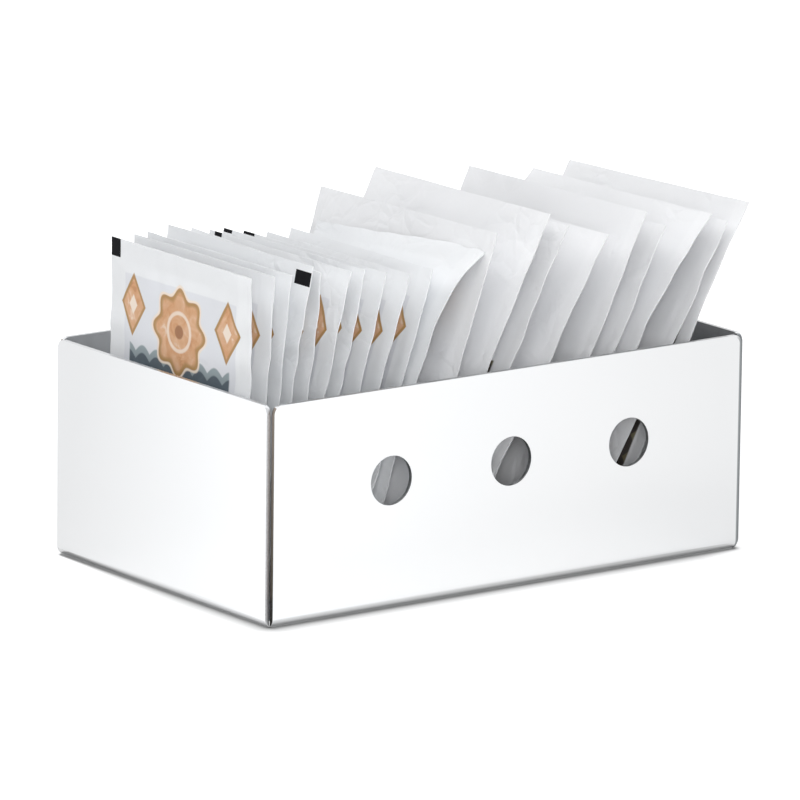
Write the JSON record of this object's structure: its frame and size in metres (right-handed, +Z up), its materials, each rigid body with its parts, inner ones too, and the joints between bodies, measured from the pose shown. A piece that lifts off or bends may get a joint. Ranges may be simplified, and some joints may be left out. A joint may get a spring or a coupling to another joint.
{
  "type": "sugar packet holder",
  "caption": "Open tabletop tray folded from polished sheet steel, with round viewing holes in one long wall, filled with leaning paper sugar sachets that lift out one by one.",
  "frame": {"origin": "middle of the tray's flat underside, at the height of the table", "axes": "+X along the long walls, towards the end that the sachets lean to; the wall with the viewing holes faces -Y; +Z up"},
  "size_m": [0.1368, 0.081, 0.0795],
  "materials": {
    "tray_steel": "polished",
    "small_paper": "matte",
    "large_paper": "matte",
    "sugar": "matte"
  },
  "bodies": {
    "tray": {"tray": "tray_steel"},
    "small_sachet_01": {"small_sachet_01": "small_paper", "small_sugar_01": "sugar"},
    "small_sachet_02": {"small_sachet_02": "small_paper", "small_sugar_02": "sugar"},
    "small_sachet_03": {"small_sachet_03": "small_paper", "small_sugar_03": "sugar"},
    "small_sachet_04": {"small_sachet_04": "small_paper", "small_sugar_04": "sugar"},
    "small_sachet_05": {"small_sachet_05": "small_paper", "small_sugar_05": "sugar"},
    "small_sachet_06": {"small_sachet_06": "small_paper", "small_sugar_06": "sugar"},
    "small_sachet_07": {"small_sachet_07": "small_paper", "small_sugar_07": "sugar"},
    "small_sachet_08": {"small_sachet_08": "small_paper", "small_sugar_08": "sugar"},
    "small_sachet_09": {"small_sachet_09": "small_paper", "small_sugar_09": "sugar"},
    "small_sachet_10": {"small_sachet_10": "small_paper", "small_sugar_10": "sugar"},
    "small_sachet_11": {"small_sachet_11": "small_paper", "small_sugar_11": "sugar"},
    "large_sachet_01": {"large_sachet_01": "large_paper", "large_sugar_01": "sugar"},
    "large_sachet_02": {"large_sachet_02": "large_paper", "large_sugar_02": "sugar"},
    "large_sachet_03": {"large_sachet_03": "large_paper", "large_sugar_03": "sugar"},
    "large_sachet_04": {"large_sachet_04": "large_paper", "large_sugar_04": "sugar"},
    "large_sachet_05": {"large_sachet_05": "large_paper", "large_sugar_05": "sugar"},
    "large_sachet_06": {"large_sachet_06": "large_paper", "large_sugar_06": "sugar"},
    "large_sachet_07": {"large_sachet_07": "large_paper", "large_sugar_07": "sugar"},
    "large_sachet_08": {"large_sachet_08": "large_paper", "large_sugar_08": "sugar"},
    "large_sachet_09": {"large_sachet_09": "large_paper", "large_sugar_09": "sugar"}
  },
  "joints": [
    {"name": "small_01_lift", "type": "slide", "parent": "tray", "child": "small_sachet_01", "axis": [0.0209, 0, 0.9998], "range_m": [0, 0.09]},
    {"name": "small_02_lift", "type": "slide", "parent": "tray", "child": "small_sachet_02", "axis": [0.0872, 0, 0.9962], "range_m": [0, 0.09]},
    {"name": "small_03_lift", "type": "slide", "parent": "tray", "child": "small_sachet_03", "axis": [0.1253, 0, 0.9921], "range_m": [0, 0.09]},
    {"name": "small_04_lift", "type": "slide", "parent": "tray", "child": "small_sachet_04", "axis": [0.1495, 0, 0.9888], "range_m": [0, 0.09]},
    {"name": "small_05_lift", "type": "slide", "parent": "tray", "child": "small_sachet_05", "axis": [0.1564, 0, 0.9877], "range_m": [0, 0.09]},
    {"name": "small_06_lift", "type": "slide", "parent": "tray", "child": "small_sachet_06", "axis": [0.2504, 0, 0.9681], "range_m": [0, 0.09]},
    {"name": "small_07_lift", "type": "slide", "parent": "tray", "child": "small_sachet_07", "axis": [0.2672, 0, 0.9636], "range_m": [0, 0.09]},
    {"name": "small_08_lift", "type": "slide", "parent": "tray", "child": "small_sachet_08", "axis": [0.284, 0, 0.9588], "range_m": [0, 0.09]},
    {"name": "small_09_lift", "type": "slide", "parent": "tray", "child": "small_sachet_09", "axis": [0.3256, 0, 0.9455], "range_m": [0, 0.09]},
    {"name": "small_10_lift", "type": "slide", "parent": "tray", "child": "small_sachet_10", "axis": [0.3173, 0, 0.9483], "range_m": [0, 0.09]},
    {"name": "small_11_lift", "type": "slide", "parent": "tray", "child": "small_sachet_11", "axis": [0.342, 0, 0.9397], "range_m": [0, 0.09]},
    {"name": "large_01_lift", "type": "slide", "parent": "tray", "child": "large_sachet_01", "axis": [0.3955, 0, 0.9184], "range_m": [0, 0.09]},
    {"name": "large_02_lift", "type": "slide", "parent": "tray", "child": "large_sachet_02", "axis": [0.4415, 0, 0.8973], "range_m": [0, 0.09]},
    {"name": "large_03_lift", "type": "slide", "parent": "tray", "child": "large_sachet_03", "axis": [0.4695, 0, 0.8829], "range_m": [0, 0.09]},
    {"name": "large_04_lift", "type": "slide", "parent": "tray", "child": "large_sachet_04", "axis": [0.5075, 0, 0.8616], "range_m": [0, 0.09]},
    {"name": "large_05_lift", "type": "slide", "parent": "tray", "child": "large_sachet_05", "axis": [0.4695, 0, 0.8829], "range_m": [0, 0.09]},
    {"name": "large_06_lift", "type": "slide", "parent": "tray", "child": "large_sachet_06", "axis": [0.4772, 0, 0.8788], "range_m": [0, 0.09]},
    {"name": "large_07_lift", "type": "slide", "parent": "tray", "child": "large_sachet_07", "axis": [0.4924, 0, 0.8704], "range_m": [0, 0.09]},
    {"name": "large_08_lift", "type": "slide", "parent": "tray", "child": "large_sachet_08", "axis": [0.5, 0, 0.866], "range_m": [0, 0.09]},
    {"name": "large_09_lift", "type": "slide", "parent": "tray", "child": "large_sachet_09", "axis": [0.5, 0, 0.866], "range_m": [0, 0.09]}
  ]
}
